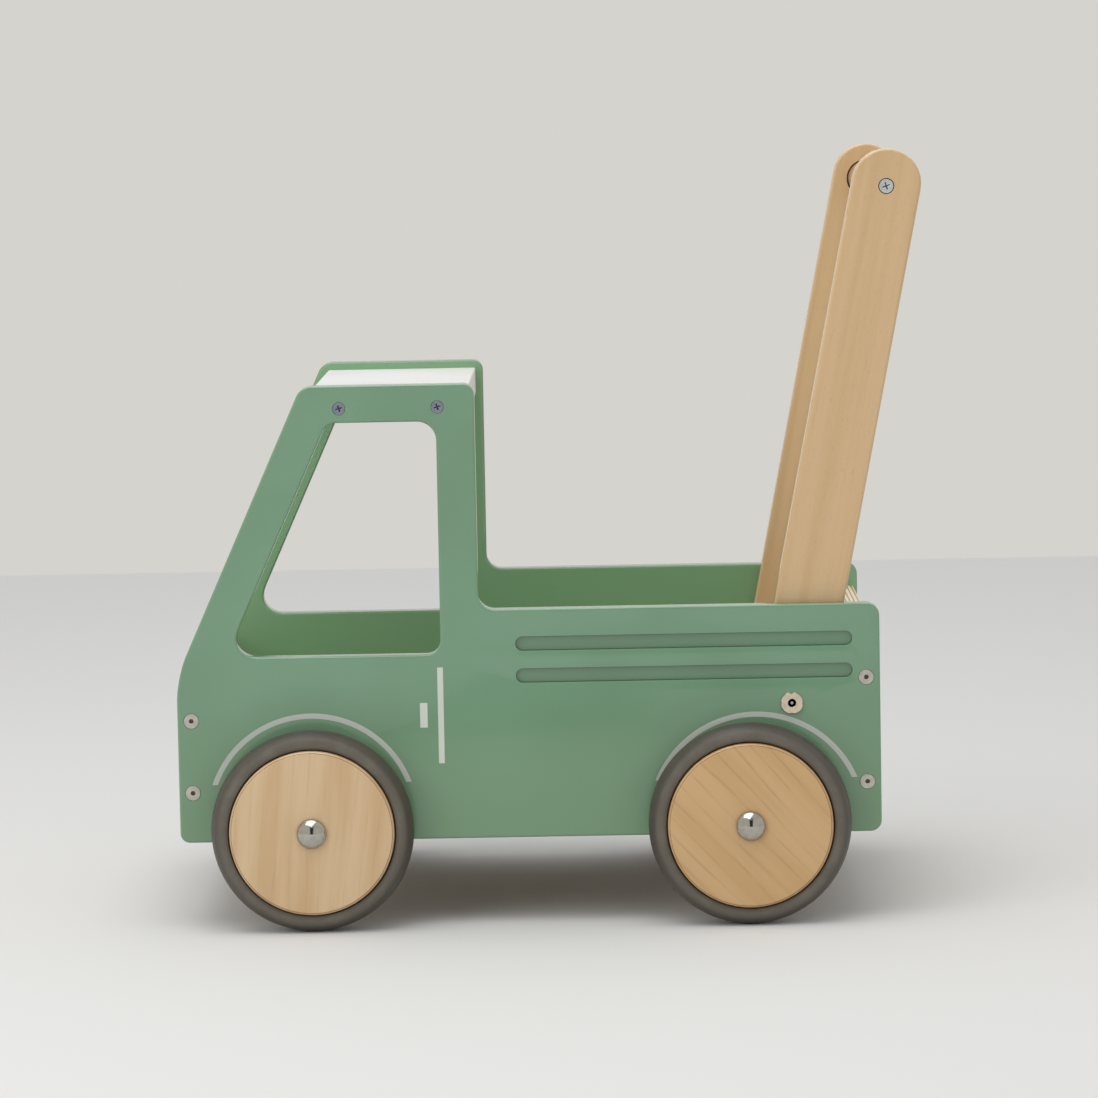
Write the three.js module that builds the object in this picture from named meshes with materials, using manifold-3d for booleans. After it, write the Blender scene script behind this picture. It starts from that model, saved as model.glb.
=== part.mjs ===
// A push along truck for a toddler: two painted plywood sides, joined by a roof board, a front
// board, a tailgate and a floor, that roll on two steel axles with rubber-tyred wooden wheels.
// Two leaning handle boards carry the round grip that the child pushes.
// Millimetres. x runs back from the nose of the sides, y from the centre line to the truck's
// right-hand side, and z up from the ground.
import * as THREE from 'three';
import { mergeVertices } from 'three/addons/utils/BufferGeometryUtils.js';
import Module from 'manifold-3d';

const wasm = await Module();
wasm.setup();

// ---------------------------------------------------------------- driving dimensions
// Fits
const glueLine = 0.1; // between pieces that are glued, screwed or pressed face to face
const housingGap = 0.3; // round a board in its groove, and at its ends
const screwGap = 0.2; // round a screw, a bolt or an axle held in its hole
const runningGap = 0.3; // between a turning wheel and what it turns on or beside

// Wheels and axles
const tyreDiameter = 126.5;
const tyreWidth = 24;
const tyreShoulder = 9.5;
const discDiameter = 103;
const discWidth = 27;
const discEdge = 2.5;
const axleDiameter = 10;
const frontAxleX = 84.2;
const wheelbase = 272.7;
const washerDiameter = 24;
const washerThickness = 3;
const capDiameter = 18.5;
const capRim = 1.8;
const capHeight = 7;
const axleEndInCap = 3.5;

// Sides
const bodyWidth = 244; // clear width between the two sides
const sideThickness = 12;
const sideLength = 440;
const edgeEasing = 1.5; // rounding along every painted edge
const axleToUnderside = 9.3;
const railRise = 144; // from the underside up to the rail of the load bed
const roofRise = 285.5; // from the underside up to the roof line
const noseRise = 104; // from the underside up to where the windscreen slope starts
const noseRadius = 70;
const cornerRadius = { frontFoot: 6, rearFoot: 7, railEnd: 8, roofRear: 7, roofFront: 10 };
const windscreenLean = THREE.MathUtils.degToRad(24.3);
const postRearX = 189.8;
const postWidth = 24.1;
const postFillet = 10;
const screenBand = 23.7; // width of the windscreen pillar, square to its slope
const roofBand = 23.2;
const sillRise = 116.3; // from the underside up to the window sill
const windowRadius = 10;

// Routed grooves in each outer face
const grooveHeight = 9.4;
const grooveDepth = 2.5;
const grooveDrops = [21.8, 41.9]; // centre lines below the rail
const grooveBehindPost = 22.5;
const grooveBeforeTail = 17;

// Boards between the sides
const boardThickness = 12;
const boardInset = 8.7; // from each end of the sides to the middle of the end board
const boardAboveUnderside = 4;
const tailgateBelowRail = 16;
const roofThickness = 18;
const roofSetback = 5; // behind the windscreen slope and inside the post
const floorThickness = 9;
const floorAboveUnderside = 19;
const housingDepth = 4;

// Handle
const handleLean = THREE.MathUtils.degToRad(11.23);
const handleBoardWidth = 43;
const handleBoardThickness = 12;
const handleEasing = 2.5;
const handleFootRadius = 6;
const handleFootGap = 1;
const boltBeforeTail = 55.4;
const boltRise = 82; // from the underside up to the upper handle bolt
const boltToGrip = 327;
const topAboveGrip = 1.75; // from the grip up to the centre of the boards' round tops
const boltSpacing = 40;
const gripDiameter = 23;
const gripSocketDiameter = 25;
const gripSocketDepth = 4;

// Fasteners: countersunk screws, and bolts that run into flanged tee nuts
const panelScrew = { head: 9.4, shank: 5, length: 50, socket: 'hex' };
const roofScrew = { head: 7.8, shank: 4, length: 40, socket: 'cross' };
const gripScrew = { head: 9, shank: 4.5, length: 45, socket: 'cross' };
const headRim = 0.6; // upright edge of a countersunk head
const screwTip = 5;
const socketDepth = 2;
const hexSocketRadius = 2;
const crossSocket = [4.6, 1.1];
const roofScrewFromScreen = 30; // behind the roof board's front edge at mid height
const roofScrewFromPost = 23;
const panelScrewLow = 31.6; // heights above the underside
const frontScrewHigh = 77;
const tailScrewHigh = 97.4;
const bolt = { head: 12, headHeight: 3, shank: 6 };
const teeNut = { flange: 14, flangeHeight: 1.5, barrel: 8, depth: 9 };
const boltTipInNut = 0.8; // the bolt ends this far below the face of the nut

// Facets
const wheelFacets = 36;
const shaftFacets = 12;
const cornerSteps = 3; // straight pieces in a turned corner
const arcFacets = 3; // half the straight pieces in one rounded corner

// ---------------------------------------------------------------- worked out from the above
const axleZ = tyreDiameter / 2;
const axleXs = { front: frontAxleX, rear: frontAxleX + wheelbase };
const underside = axleZ - axleToUnderside;
const rail = underside + railRise;
const roofline = underside + roofRise;
const nose = underside + noseRise;
const innerFace = bodyWidth / 2;
const outerFace = innerFace + sideThickness;
const windowHead = roofline - roofBand;
const roofTop = windowHead + roofThickness;
const roofMiddle = (windowHead + roofTop) / 2;
const frontBoardX = boardInset;
const tailgateX = sideLength - boardInset;
const floorTop = underside + floorAboveUnderside + floorThickness;
const wheelInner = outerFace + glueLine + washerThickness + runningGap;
const wheelOuter = wheelInner + discWidth;
const boltFoot = new THREE.Vector2(sideLength - boltBeforeTail, underside + boltRise);
const upHandle = new THREE.Vector2(Math.sin(handleLean), Math.cos(handleLean));
const grip = boltFoot.clone().addScaledVector(upHandle, boltToGrip);
const overallLength = grip.x + topAboveGrip * upHandle.x + handleBoardWidth / 2;
const sides = { left: -1, right: 1 };

const windscreenX = (z) => (z - nose) * Math.tan(windscreenLean);
const onHandle = (below) => grip.clone().addScaledVector(upHandle, -below);

// ---------------------------------------------------------------- finishes
const finishes = {
  paintedSide: { color: 0x719979, roughness: 0.55, metalness: 0 },
  whiteBoard: { color: 0xe8e6e4, roughness: 0.6, metalness: 0 },
  plywood: { color: 0xc9aa7f, roughness: 0.65, metalness: 0 },
  beech: { color: 0xd2ac80, roughness: 0.6, metalness: 0 },
  rubber: { color: 0x6b675f, roughness: 0.8, metalness: 0 },
  steel: { color: 0xb9b8b4, roughness: 0.3, metalness: 1 },
  nickel: { color: 0xcfc6bb, roughness: 0.35, metalness: 1 },
};

// ---------------------------------------------------------------- shape helpers
// A closed outline through corners [x, z, radius], each rounded by an arc that meets both sides.
function roundedOutline(corners, Outline = THREE.Shape) {
  const outline = new Outline();
  corners.forEach(([x, z, radius], i) => {
    const corner = new THREE.Vector2(x, z);
    const back = new THREE.Vector2(...corners.at(i - 1)).sub(corner).normalize();
    const onward = new THREE.Vector2(...corners[(i + 1) % corners.length]).sub(corner).normalize();
    const halfAngle = Math.acos(back.dot(onward)) / 2;
    const reach = radius / Math.tan(halfAngle);
    const toCentre = back.clone().add(onward).setLength(radius / Math.sin(halfAngle));
    const start = back.setLength(reach).sub(toCentre);
    const end = onward.setLength(reach).sub(toCentre);
    const centre = toCentre.add(corner);
    const clockwise = start.cross(end) < 0;
    outline.absarc(centre.x, centre.y, radius, start.angle(), end.angle(), clockwise);
  });
  outline.closePath();
  return outline;
}

// A flat board cut to an outline in x and z, between two values of y, with its edges eased.
function board(outline, fromY, toY, easing = 0, curveSegments = arcFacets) {
  const geometry = new THREE.ExtrudeGeometry(outline, {
    depth: toY - fromY - 2 * easing,
    curveSegments,
    bevelEnabled: easing > 0,
    bevelThickness: easing,
    bevelSize: easing,
    bevelOffset: -easing,
    bevelSegments: 1,
  });
  geometry.rotateX(Math.PI / 2);
  geometry.translate(0, toY - easing, 0);
  return geometry;
}

function boardOfBox([x0, x1], [y0, y1], [z0, z1]) {
  const geometry = new THREE.BoxGeometry(x1 - x0, y1 - y0, z1 - z0);
  geometry.translate((x0 + x1) / 2, (y0 + y1) / 2, (z0 + z1) / 2);
  return geometry;
}

// A piece turned about the y axis from a profile of [radius, y].
function turned(profile, facets = shaftFacets) {
  const points = profile.map(([radius, y]) => new THREE.Vector2(radius, y));
  return new THREE.LatheGeometry(points, facets);
}

// The stretch of a turned profile that rounds one corner, from one angle to another in degrees.
function roundedCorner([radius, y], size, fromAngle, toAngle) {
  return Array.from({ length: cornerSteps + 1 }, (_, step) => {
    const angle = THREE.MathUtils.degToRad(fromAngle + ((toAngle - fromAngle) * step) / cornerSteps);
    return [radius + size * Math.cos(angle), y + size * Math.sin(angle)];
  });
}

function pin(diameter, fromY, toY, facets = shaftFacets) {
  const geometry = new THREE.CylinderGeometry(diameter / 2, diameter / 2, toY - fromY, facets);
  geometry.translate(0, (fromY + toY) / 2, 0);
  return geometry;
}

// A geometry as a solid that can be cut: shared corners are merged and flat triangles dropped.
function solid(geometry) {
  const bare = geometry.clone();
  bare.deleteAttribute('normal');
  bare.deleteAttribute('uv');
  const merged = mergeVertices(bare, 1e-4);
  const corners = Array.from(merged.index.array);
  const triVerts = [];
  for (let i = 0; i < corners.length; i += 3) {
    const [a, b, c] = corners.slice(i, i + 3);
    if (a !== b && b !== c && c !== a) triVerts.push(a, b, c);
  }
  return new wasm.Manifold(new wasm.Mesh({
    numProp: 3,
    vertProperties: new Float32Array(merged.attributes.position.array),
    triVerts: new Uint32Array(triVerts),
  }));
}

// A piece with cutters taken away from it.
function cut(geometry, cutters) {
  const whole = solid(geometry);
  const { vertProperties, triVerts } = cutters.map(solid)
    .reduce((body, cutter) => body.subtract(cutter), whole)
    .getMesh();
  const result = new THREE.BufferGeometry();
  result.setAttribute('position', new THREE.BufferAttribute(vertProperties, 3));
  result.setIndex(new THREE.BufferAttribute(triVerts, 1));
  return result;
}

// A geometry made for the right-hand side, turned round to face left where side is -1.
function faceOut(geometry, side) {
  if (side < 0) geometry.rotateX(Math.PI);
  return geometry;
}

function at(geometry, x, y, z) {
  return geometry.translate(x, y, z);
}

// ---------------------------------------------------------------- the truck
const truck = new THREE.Group();
truck.name = 'push_along_truck';
truck.position.x = -overallLength / 2;

function add(name, geometry, finish, group = truck) {
  const mesh = new THREE.Mesh(geometry, new THREE.MeshStandardMaterial(finishes[finish]));
  mesh.name = name;
  group.add(mesh);
}

// ---- Countersunk screws. Each head is flush with the face at y = 0, and the shank runs inwards.
function screwProfile({ head, shank, length }, gap = 0) {
  const headRadius = head / 2 + gap;
  const shankRadius = shank / 2 + gap;
  const seat = -headRim - (headRadius - shankRadius);
  return [
    [0, -length - gap],
    [shankRadius, -length + screwTip],
    [shankRadius, seat],
    [headRadius, -headRim],
    [headRadius, 0],
    [0, 0],
  ];
}

function screw(kind) {
  const sockets = {
    hex: [pin(hexSocketRadius * 2, -socketDepth, socketDepth, 6)],
    cross: [0, Math.PI / 2].map((angle) => {
      const [span, width] = crossSocket;
      return new THREE.BoxGeometry(span, 2 * socketDepth, width).rotateY(angle);
    }),
  };
  return cut(turned(screwProfile(kind)), sockets[kind.socket]);
}

function screwHole(kind) {
  return turned(screwProfile(kind, screwGap));
}

const roofScrewXs = [
  windscreenX(roofMiddle) + roofScrewFromScreen,
  postRearX - roofScrewFromPost,
];
const screwPlaces = {
  roof_screw_front: { kind: roofScrew, x: roofScrewXs[0], z: roofMiddle },
  roof_screw_rear: { kind: roofScrew, x: roofScrewXs[1], z: roofMiddle },
  front_screw_upper: { kind: panelScrew, x: frontBoardX, z: underside + frontScrewHigh },
  front_screw_lower: { kind: panelScrew, x: frontBoardX, z: underside + panelScrewLow },
  tailgate_screw_upper: { kind: panelScrew, x: tailgateX, z: underside + tailScrewHigh },
  tailgate_screw_lower: { kind: panelScrew, x: tailgateX, z: underside + panelScrewLow },
};

function placedScrewHoles(side, wanted) {
  return Object.entries(screwPlaces)
    .filter(([name]) => name.startsWith(wanted))
    .map(([, { kind, x, z }]) => at(faceOut(screwHole(kind), side), x, side * outerFace, z));
}

for (const [hand, side] of Object.entries(sides)) {
  for (const [name, { kind, x, z }] of Object.entries(screwPlaces)) {
    add(`${hand}_${name}`, at(faceOut(screw(kind), side), x, side * outerFace, z), 'steel');
  }
}

// ---- Sides: one plywood sheet each, with the cab window, two grooves and the floor's housing.
function sideOutline() {
  const outline = roundedOutline([
    [0, underside, cornerRadius.frontFoot],
    [sideLength, underside, cornerRadius.rearFoot],
    [sideLength, rail, cornerRadius.railEnd],
    [postRearX, rail, postFillet],
    [postRearX, roofline, cornerRadius.roofRear],
    [windscreenX(roofline), roofline, cornerRadius.roofFront],
    [0, nose, noseRadius],
  ]);
  const slopeInset = screenBand / Math.cos(windscreenLean);
  const sill = underside + sillRise;
  const windowRear = postRearX - postWidth;
  outline.holes.push(roundedOutline([
    [windscreenX(sill) + slopeInset, sill, windowRadius],
    [windowRear, sill, windowRadius],
    [windowRear, windowHead, windowRadius],
    [windscreenX(windowHead) + slopeInset, windowHead, windowRadius],
  ], THREE.Path));
  return outline;
}

function groove(middleZ, side) {
  const start = postRearX + grooveBehindPost;
  const end = sideLength - grooveBeforeTail;
  const round = grooveHeight / 2;
  const outline = new THREE.Shape();
  outline.absarc(start + round, middleZ, round, Math.PI / 2, -Math.PI / 2, false);
  outline.absarc(end - round, middleZ, round, -Math.PI / 2, Math.PI / 2, false);
  const faces = [side * (outerFace - grooveDepth), side * (outerFace + grooveDepth)];
  return board(outline, Math.min(...faces), Math.max(...faces), 0, 2 * arcFacets);
}

function floorHousing(side) {
  const faces = [side * (innerFace - housingDepth), side * (innerFace + housingDepth)];
  return boardOfBox(
    [frontBoardX + boardThickness / 2, tailgateX - boardThickness / 2],
    [Math.min(...faces), Math.max(...faces)],
    [floorTop - floorThickness - housingGap, floorTop + housingGap],
  );
}

function boltPlaces() {
  return [boltToGrip, boltToGrip + boltSpacing].map(onHandle);
}

function sidePanel(side) {
  const faces = [side * innerFace, side * outerFace];
  const through = [-2 * sideThickness, 2 * sideThickness];
  const axleHoles = Object.values(axleXs)
    .map((x) => at(pin(axleDiameter + 2 * screwGap, ...through), x, side * outerFace, axleZ));
  const nutHoles = boltPlaces()
    .map(({ x, y: z }) => at(pin(teeNut.barrel + 2 * screwGap, ...through), x, side * outerFace, z));
  return cut(board(sideOutline(), Math.min(...faces), Math.max(...faces), edgeEasing), [
    ...grooveDrops.map((drop) => groove(rail - drop, side)),
    floorHousing(side),
    ...axleHoles,
    ...nutHoles,
    ...placedScrewHoles(side, ''),
  ]);
}

for (const [hand, side] of Object.entries(sides)) {
  add(`${hand}_side_panel`, sidePanel(side), 'paintedSide');
}

// ---- Boards between the sides, glued and screwed through the sides into their ends.
const boardEnd = innerFace - glueLine;

function crossBoard(corners, wantedScrews) {
  return cut(board(roundedOutline(corners), -boardEnd, boardEnd), [
    ...placedScrewHoles(sides.left, wantedScrews),
    ...placedScrewHoles(sides.right, wantedScrews),
  ]);
}

function uprightCorners(middleX, top) {
  const bottom = underside + boardAboveUnderside;
  const half = boardThickness / 2;
  return [
    [middleX - half, bottom, edgeEasing],
    [middleX + half, bottom, edgeEasing],
    [middleX + half, top, edgeEasing],
    [middleX - half, top, edgeEasing],
  ];
}

const roofSlopeSetback = roofSetback / Math.cos(windscreenLean);
add('roof_board', crossBoard([
  [windscreenX(windowHead) + roofSlopeSetback, windowHead, edgeEasing],
  [postRearX - roofSetback, windowHead, edgeEasing],
  [postRearX - roofSetback, roofTop, edgeEasing],
  [windscreenX(roofTop) + roofSlopeSetback, roofTop, edgeEasing],
], 'roof'), 'whiteBoard');
add('front_board', crossBoard(uprightCorners(frontBoardX, nose), 'front'), 'plywood');
add('tailgate', crossBoard(uprightCorners(tailgateX, rail - tailgateBelowRail), 'tailgate'), 'plywood');

add('floor_board', boardOfBox(
  [frontBoardX + boardThickness / 2 + housingGap, tailgateX - boardThickness / 2 - housingGap],
  [-innerFace - housingDepth + housingGap, innerFace + housingDepth - housingGap],
  [floorTop - floorThickness, floorTop],
), 'plywood');

// ---- Axles: plain rods held in the sides, with a spacing washer, a wheel and a pushed-on cap at
// each end. The wooden disc turns on the rod, and the rubber tyre is stretched over the disc.
function capProfile() {
  const bore = axleDiameter / 2 + screwGap;
  const crown = capHeight - capRim;
  const domeSteps = 2 * cornerSteps;
  const dome = Array.from({ length: domeSteps }, (_, step) => {
    const angle = (step / domeSteps) * (Math.PI / 2);
    return [(capDiameter / 2) * Math.cos(angle), capRim + crown * Math.sin(angle)];
  });
  return [[0, axleEndInCap + screwGap], [bore, axleEndInCap + screwGap], [bore, 0],
    [capDiameter / 2, 0], ...dome, [0, capHeight]];
}

function discProfile() {
  const bore = axleDiameter / 2 + runningGap;
  const rim = discDiameter / 2;
  return [[bore, 0], [rim - discEdge, 0], [rim, discEdge], [rim, discWidth - discEdge],
    [rim - discEdge, discWidth], [bore, discWidth], [bore, 0]];
}

function tyreProfile() {
  const seat = discDiameter / 2 + glueLine;
  const tread = tyreDiameter / 2 - tyreShoulder;
  const [low, high] = [(discWidth - tyreWidth) / 2, (discWidth + tyreWidth) / 2];
  return [[seat, low], ...roundedCorner([tread, low + tyreShoulder], tyreShoulder, -90, 0),
    ...roundedCorner([tread, high - tyreShoulder], tyreShoulder, 0, 90), [seat, high], [seat, low]];
}

function washerProfile() {
  const bore = axleDiameter / 2 + screwGap;
  const rim = washerDiameter / 2;
  return [[bore, 0], [rim, 0], [rim, washerThickness], [bore, washerThickness], [bore, 0]];
}

const axleReach = wheelOuter + runningGap + axleEndInCap;
for (const [end, x] of Object.entries(axleXs)) {
  add(`${end}_axle`, at(pin(axleDiameter, -axleReach, axleReach), x, 0, axleZ), 'steel');
  for (const [hand, side] of Object.entries(sides)) {
    const stack = {
      washer: [turned(washerProfile()), outerFace + glueLine, 'nickel'],
      wheel: [turned(discProfile(), wheelFacets), wheelInner, 'plywood'],
      tyre: [turned(tyreProfile(), wheelFacets), wheelInner, 'rubber'],
      axle_cap: [turned(capProfile()), wheelOuter + runningGap, 'steel'],
    };
    for (const [piece, [geometry, startY, finish]] of Object.entries(stack)) {
      add(`${end}_${hand}_${piece}`, at(faceOut(geometry, side), x, side * startY, axleZ), finish);
    }
  }
}

// ---- Handle: two boards bolted inside the sides, leaning back, with a round grip let into both.
const handle = new THREE.Group();
handle.position.set(grip.x, 0, grip.y);
handle.rotation.y = handleLean;
truck.add(handle);

const handleOuter = innerFace - glueLine;
const handleInner = handleOuter - handleBoardThickness;
const footCorner = (handleBoardWidth / 2) * Math.sin(handleLean);
const handleReach = (grip.y - floorTop - handleFootGap - footCorner) / Math.cos(handleLean);

function handleBoard(side) {
  const half = handleBoardWidth / 2;
  const outline = new THREE.Shape();
  outline.absarc(0, topAboveGrip, half, 0, Math.PI, false);
  for (const across of [-1, 1]) {
    const centreX = across * (half - handleFootRadius);
    const start = across < 0 ? Math.PI : 1.5 * Math.PI;
    const centreZ = -handleReach + handleFootRadius;
    outline.absarc(centreX, centreZ, handleFootRadius, start, start + Math.PI / 2, false);
  }
  outline.closePath();
  const faces = [side * handleInner, side * handleOuter];
  const socket = pin(gripSocketDiameter, -gripSocketDepth, gripSocketDepth);
  const boltHole = pin(bolt.shank + 2 * screwGap, -2 * sideThickness, 2 * sideThickness);
  return cut(board(outline, Math.min(...faces), Math.max(...faces), handleEasing, 2 * arcFacets), [
    at(socket, 0, side * handleInner, 0),
    at(faceOut(screwHole(gripScrew), side), 0, side * handleOuter, 0),
    ...[boltToGrip, boltToGrip + boltSpacing].map(
      (below) => at(boltHole.clone(), 0, side * handleInner, -below),
    ),
  ]);
}

for (const [hand, side] of Object.entries(sides)) {
  add(`${hand}_handle_board`, handleBoard(side), 'beech', handle);
  const headFace = side * handleOuter;
  add(`${hand}_grip_screw`, at(faceOut(screw(gripScrew), side), 0, headFace, 0), 'steel', handle);
}

const gripEnd = handleInner + gripSocketDepth - housingGap;
add('handle_grip', cut(
  pin(gripDiameter, -gripEnd, gripEnd, 2 * shaftFacets),
  [-1, 1].map((side) => at(faceOut(screwHole(gripScrew), side), 0, side * handleOuter, 0)),
), 'beech', handle);

// ---- Handle bolts run outwards from the load bed into tee nuts seated on the outer faces.
function boltProfile() {
  const under = handleInner - glueLine;
  const tip = outerFace + teeNut.flangeHeight - boltTipInNut;
  return [[0, under - bolt.headHeight], [bolt.head / 2, under - bolt.headHeight],
    [bolt.head / 2, under], [bolt.shank / 2, under], [bolt.shank / 2, tip], [0, tip]];
}

function teeNutProfile() {
  const bore = bolt.shank / 2 + screwGap;
  const [foot, face] = [outerFace - teeNut.depth, outerFace + glueLine];
  return [[bore, foot], [teeNut.barrel / 2, foot], [teeNut.barrel / 2, face],
    [teeNut.flange / 2, face], [teeNut.flange / 2, face + teeNut.flangeHeight],
    [bore, face + teeNut.flangeHeight], [bore, foot]];
}

boltPlaces().forEach(({ x, y: z }, i) => {
  const level = ['upper', 'lower'][i];
  for (const [hand, side] of Object.entries(sides)) {
    add(`${hand}_handle_bolt_${level}`, at(faceOut(turned(boltProfile()), side), x, 0, z), 'steel');
    add(`${hand}_tee_nut_${level}`, at(faceOut(turned(teeNutProfile()), side), x, 0, z), 'nickel');
  }
});

export default truck;
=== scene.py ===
# A push along truck for a toddler, finished piece by piece over its construction: painted plywood
# sides, lacquered wood, rubber tyres and plated fasteners. Metres, z up, nose towards -x.
import math

import bmesh
import bpy
from mathutils import Matrix, Vector


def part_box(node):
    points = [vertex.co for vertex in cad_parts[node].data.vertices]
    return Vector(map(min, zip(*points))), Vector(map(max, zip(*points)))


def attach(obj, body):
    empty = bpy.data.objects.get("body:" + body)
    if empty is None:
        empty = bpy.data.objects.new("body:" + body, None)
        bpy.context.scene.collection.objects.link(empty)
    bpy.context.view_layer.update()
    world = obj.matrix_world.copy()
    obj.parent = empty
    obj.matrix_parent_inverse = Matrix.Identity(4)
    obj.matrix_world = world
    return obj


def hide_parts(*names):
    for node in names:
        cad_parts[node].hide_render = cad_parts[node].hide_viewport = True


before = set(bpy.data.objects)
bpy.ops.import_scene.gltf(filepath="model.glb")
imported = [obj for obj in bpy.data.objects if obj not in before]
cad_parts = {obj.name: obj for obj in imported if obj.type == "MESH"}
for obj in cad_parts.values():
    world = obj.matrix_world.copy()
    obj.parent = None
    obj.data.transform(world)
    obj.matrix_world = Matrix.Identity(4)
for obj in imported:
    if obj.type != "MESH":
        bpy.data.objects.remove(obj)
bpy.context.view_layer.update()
scene = bpy.context.scene

# ---- Camera, floor and light
# The truck stands on a pale floor under soft light, and is seen from its left-hand side through a
# long lens, held slightly askew, from about three metres away. Reflections alone also show a dark
# doorway in front of it and a bright window behind it.
MM = 0.001
LENS = 159.5
CAMERA_PLACE = Vector((0.0299, -3.1519, 0.5281))
CAMERA_YAW = math.radians(0.575)
CAMERA_PITCH = math.radians(5.542)
CAMERA_ROLL = math.radians(-1.102)
FLOOR_REACH = 2.1
FLOOR_TONE = (0.738, 0.735, 0.722)
WALL_TONE = (0.665, 0.651, 0.610)
DAYLIGHT = 0.7
DOORWAY_TONE = (0.05, 0.05, 0.05)  # an unlit doorway, seen only in reflections
DOORWAY = [  # where it starts and where it is complete, along each axis
    ("X", -0.24, -0.1),
    ("X", 0.32, 0.18),
    ("Y", 0, -0.1),
    ("Z", -0.02, 0.06),
    ("Z", 0.95, 0.6),
]
WINDOW_TONE = (1.9, 1.95, 2.0)  # a bright window, seen only in reflections
BRIGHT_WINDOW = [("Y", 0.05, 0.25), ("Z", 0.5, 0.65), ("Z", 0.98, 0.9)]
SOFTBOXES = {
    "softbox_above": {"place": (-0.35, -0.55, 2.1), "size": 1.7, "power": 17, "mirrored": True},
    "softbox_front": {"place": (-1.5, -1.7, 1.1), "size": 1.2, "power": 8, "mirrored": False},
}


def srgb(red, green, blue):
    """A colour given as 0 to 255 screen values, as linear light."""
    tones = [value / 255 for value in (red, green, blue)]
    return tuple(t / 12.92 if t < 0.04045 else ((t + 0.055) / 1.055) ** 2.4 for t in tones)


camera_data = bpy.data.cameras.new("camera")
camera_data.lens = LENS
camera = bpy.data.objects.new("camera", camera_data)
scene.collection.objects.link(camera)
camera.matrix_world = (
    Matrix.Translation(CAMERA_PLACE)
    @ Matrix.Rotation(CAMERA_YAW, 4, "Z")
    @ Matrix.Rotation(math.pi / 2 - CAMERA_PITCH, 4, "X")
    @ Matrix.Rotation(CAMERA_ROLL, 4, "Z")
)
scene.camera = camera
scene.view_settings.view_transform = "Standard"

for lamp_name, lamp in SOFTBOXES.items():
    lamp_data = bpy.data.lights.new(lamp_name, "AREA")
    lamp_data.size = lamp["size"]
    lamp_data.energy = lamp["power"]
    lamp_object = bpy.data.objects.new(lamp_name, lamp_data)
    lamp_object.location = lamp["place"]
    lamp_object.visible_glossy = lamp["mirrored"]
    lamp_object.rotation_euler = Vector(lamp["place"]).to_track_quat("Z", "Y").to_euler()
    scene.collection.objects.link(lamp_object)

room = bpy.data.worlds.new("room")
room.use_nodes = True
scene.world = room
room_nodes = room.node_tree.nodes
room_links = room.node_tree.links
daylight = room_nodes["Background"]
daylight.inputs["Strength"].default_value = DAYLIGHT
wall = room_nodes.new("ShaderNodeBackground")
ray = room_nodes.new("ShaderNodeLightPath")
seen = room_nodes.new("ShaderNodeMath")
seen.operation = "ADD"
seen.use_clamp = True
room_links.new(ray.outputs["Is Camera Ray"], seen.inputs[0])
room_links.new(ray.outputs["Is Glossy Ray"], seen.inputs[1])
daylight.inputs["Color"].default_value = (1, 1, 1, 1)
way = room_nodes.new("ShaderNodeSeparateXYZ")
room_links.new(room_nodes.new("ShaderNodeTexCoord").outputs["Generated"], way.inputs[0])
tone = None
for limits, patch_tone in ((DOORWAY, DOORWAY_TONE), (BRIGHT_WINDOW, WINDOW_TONE)):
    reflected = ray.outputs["Is Glossy Ray"]
    for axis, start, end in limits:
        fade = room_nodes.new("ShaderNodeMapRange")
        fade.interpolation_type = "SMOOTHSTEP"
        fade.inputs["From Min"].default_value = start
        fade.inputs["From Max"].default_value = end
        room_links.new(way.outputs[axis], fade.inputs["Value"])
        within = room_nodes.new("ShaderNodeMath")
        within.operation = "MULTIPLY"
        room_links.new(reflected, within.inputs[0])
        room_links.new(fade.outputs["Result"], within.inputs[1])
        reflected = within.outputs[0]
    patched = room_nodes.new("ShaderNodeMix")
    patched.data_type = "RGBA"
    patched.inputs[6].default_value = (*WALL_TONE, 1)
    patched.inputs[7].default_value = (*patch_tone, 1)
    room_links.new(reflected, patched.inputs["Factor"])
    if tone:
        room_links.new(tone, patched.inputs[6])
    tone = patched.outputs[2]
room_links.new(tone, wall.inputs["Color"])
wall_or_light = room_nodes.new("ShaderNodeMixShader")
room_links.new(seen.outputs[0], wall_or_light.inputs[0])
room_links.new(daylight.outputs[0], wall_or_light.inputs[1])
room_links.new(wall.outputs[0], wall_or_light.inputs[2])
room_links.new(wall_or_light.outputs[0], room_nodes["World Output"].inputs["Surface"])

floor_mesh = bmesh.new()
bmesh.ops.create_grid(floor_mesh, size=FLOOR_REACH)
floor_data = bpy.data.meshes.new("floor")
floor_mesh.to_mesh(floor_data)
floor = bpy.data.objects.new("floor", floor_data)
scene.collection.objects.link(floor)
floor_finish = bpy.data.materials.new("floor")
floor_finish.use_nodes = True
floor_shader = floor_finish.node_tree.nodes["Principled BSDF"]
floor_shader.inputs["Base Color"].default_value = (*FLOOR_TONE, 1)
floor_shader.inputs["Roughness"].default_value = 0.9
floor_data.materials.append(floor_finish)


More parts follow.
